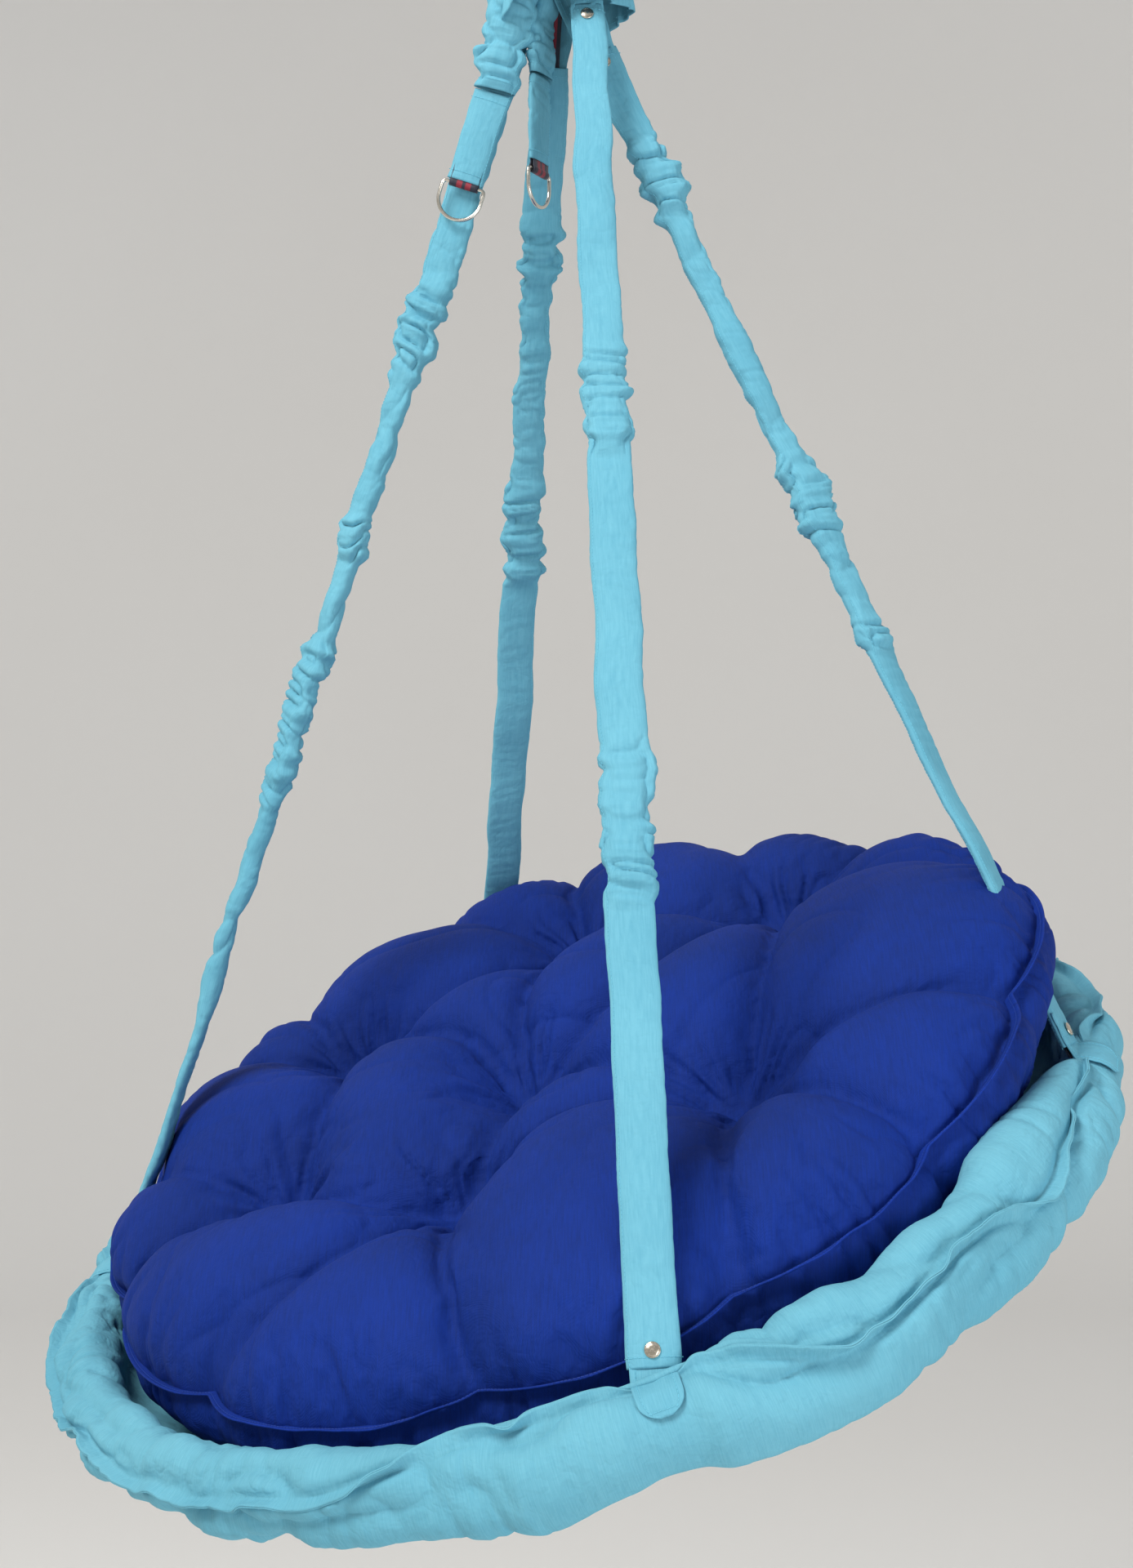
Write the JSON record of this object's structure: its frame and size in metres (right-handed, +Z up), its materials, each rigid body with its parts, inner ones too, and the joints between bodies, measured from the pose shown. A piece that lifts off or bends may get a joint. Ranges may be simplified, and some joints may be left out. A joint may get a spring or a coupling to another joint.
{
  "type": "saucer nest swing",
  "caption": "Round hanging nest swing: padded steel hoop in a gathered cover, tufted box cushion, sleeved slings with press studs, tilt tabs and a snap hook.",
  "frame": {"origin": "the hang point: inside the top bend of the hanging hook, where a ceiling eye bears", "axes": "+Z up along the hanging line, +X to the swing's right seen from its front, +Y to its back"},
  "size_m": [1.0625, 1.0757, 1.655],
  "materials": {
    "nickel_steel": "nickel plated, bright",
    "nickel_studs": "pressed brass, nickel plated",
    "striped_webbing": "woven polypropylene webbing, navy with dark red stripes",
    "turquoise_cloth": "plain woven cotton blend, matte",
    "blue_cloth": "close woven twill, soft sheen",
    "painted_tube": "black powder coat",
    "foam_pipe": "closed cell foam"
  },
  "bodies": {
    "root": {"hang_hook": "nickel_steel", "hang_hook_pin": "nickel_steel"},
    "hang_gate": {"hang_hook_gate": "nickel_steel"},
    "ring": {"hang_ring": "nickel_steel"},
    "seat": {"tilt_hook": "nickel_steel", "tilt_hook_pin": "nickel_steel", "rear_ring": "nickel_steel", "top_cover": "turquoise_cloth", "sling_front": "striped_webbing", "sling_left": "striped_webbing", "sling_back": "striped_webbing", "sling_right": "striped_webbing", "sleeve_front": "turquoise_cloth", "sleeve_left": "turquoise_cloth", "sleeve_back": "turquoise_cloth", "sleeve_right": "turquoise_cloth", "stud_cap_front_lower": "nickel_studs", "stud_cap_front_upper": "nickel_studs", "stud_post_front_lower": "nickel_studs", "stud_post_front_upper": "nickel_studs", "stud_cap_left_lower": "nickel_studs", "stud_cap_left_upper": "nickel_studs", "stud_post_left_lower": "nickel_studs", "stud_post_left_upper": "nickel_studs", "stud_cap_back_lower": "nickel_studs", "stud_cap_back_upper": "nickel_studs", "stud_post_back_lower": "nickel_studs", "stud_post_back_upper": "nickel_studs", "stud_cap_right_lower": "nickel_studs", "stud_cap_right_upper": "nickel_studs", "stud_post_right_lower": "nickel_studs", "stud_post_right_upper": "nickel_studs", "tongue_front_lower": "turquoise_cloth", "tongue_front_upper": "turquoise_cloth", "tongue_left_lower": "turquoise_cloth", "tongue_left_upper": "turquoise_cloth", "tongue_back_lower": "turquoise_cloth", "tongue_back_upper": "turquoise_cloth", "tongue_right_lower": "turquoise_cloth", "tongue_right_upper": "turquoise_cloth", "hoop_tube": "painted_tube", "foam_back_to_left": "foam_pipe", "foam_front_to_right": "foam_pipe", "foam_left_to_front": "foam_pipe", "foam_right_to_back": "foam_pipe", "rim_cover": "turquoise_cloth", "seat_cloth": "turquoise_cloth", "cushion": "blue_cloth", "tuft_button_0": "blue_cloth", "tuft_button_1": "blue_cloth", "tuft_button_2": "blue_cloth", "tuft_button_3": "blue_cloth", "tuft_button_4": "blue_cloth", "tuft_button_5": "blue_cloth", "tuft_button_6": "blue_cloth"},
    "tilt_gate": {"tilt_hook_gate": "nickel_steel"},
    "left_tab": {"tab_left": "turquoise_cloth"},
    "left_ring": {"d_ring_left": "nickel_steel"},
    "back_tab": {"tab_back": "turquoise_cloth"},
    "back_ring": {"d_ring_back": "nickel_steel"}
  },
  "joints": [
    {"name": "hang_gate_hinge", "type": "hinge", "parent": "root", "child": "hang_gate", "pos_m": [0, 0.016, -0.0414], "axis": [1, 0, 0], "range_deg": [0, 25], "stiffness_Nm_per_rad": 0.05, "springref_deg": -17.19},
    {"name": "side_swing", "type": "hinge", "parent": "root", "child": "ring", "pos_m": [0, 0, -0.064], "axis": [0, 1, 0], "range_deg": [-35, 35]},
    {"name": "fore_aft_swing", "type": "hinge", "parent": "ring", "child": "seat", "pos_m": [0, 0, -0.1062], "axis": [1, 0, 0], "range_deg": [-35, 35]},
    {"name": "tilt_gate_hinge", "type": "hinge", "parent": "seat", "child": "tilt_gate", "pos_m": [0, 0.012, -0.1287], "axis": [1, 0, 0], "range_deg": [0, 25], "stiffness_Nm_per_rad": 0.02, "springref_deg": -17.19},
    {"name": "left_tab_lift", "type": "hinge", "parent": "seat", "child": "left_tab", "pos_m": [-0.07467, -0.00374, -0.27821], "axis": [-0.9522, 0, 0.3054], "range_deg": [0, 60]},
    {"name": "left_d_ring_turn", "type": "hinge", "parent": "left_tab", "child": "left_ring", "pos_m": [-0.10511, 0.00282, -0.37313], "axis": [-0.9522, 0, 0.3054], "range_deg": [0, 90]},
    {"name": "back_tab_swing", "type": "hinge", "parent": "seat", "child": "back_tab", "pos_m": [-0.027, 0.012, -0.2562], "axis": [-0.4695, -0.8829, 0], "range_deg": [-10, 20]},
    {"name": "back_d_ring_turn", "type": "hinge", "parent": "back_tab", "child": "back_ring", "pos_m": [-0.027, 0.012, -0.3561], "axis": [-0.4695, -0.8829, 0], "range_deg": [-40, 40]}
  ]
}
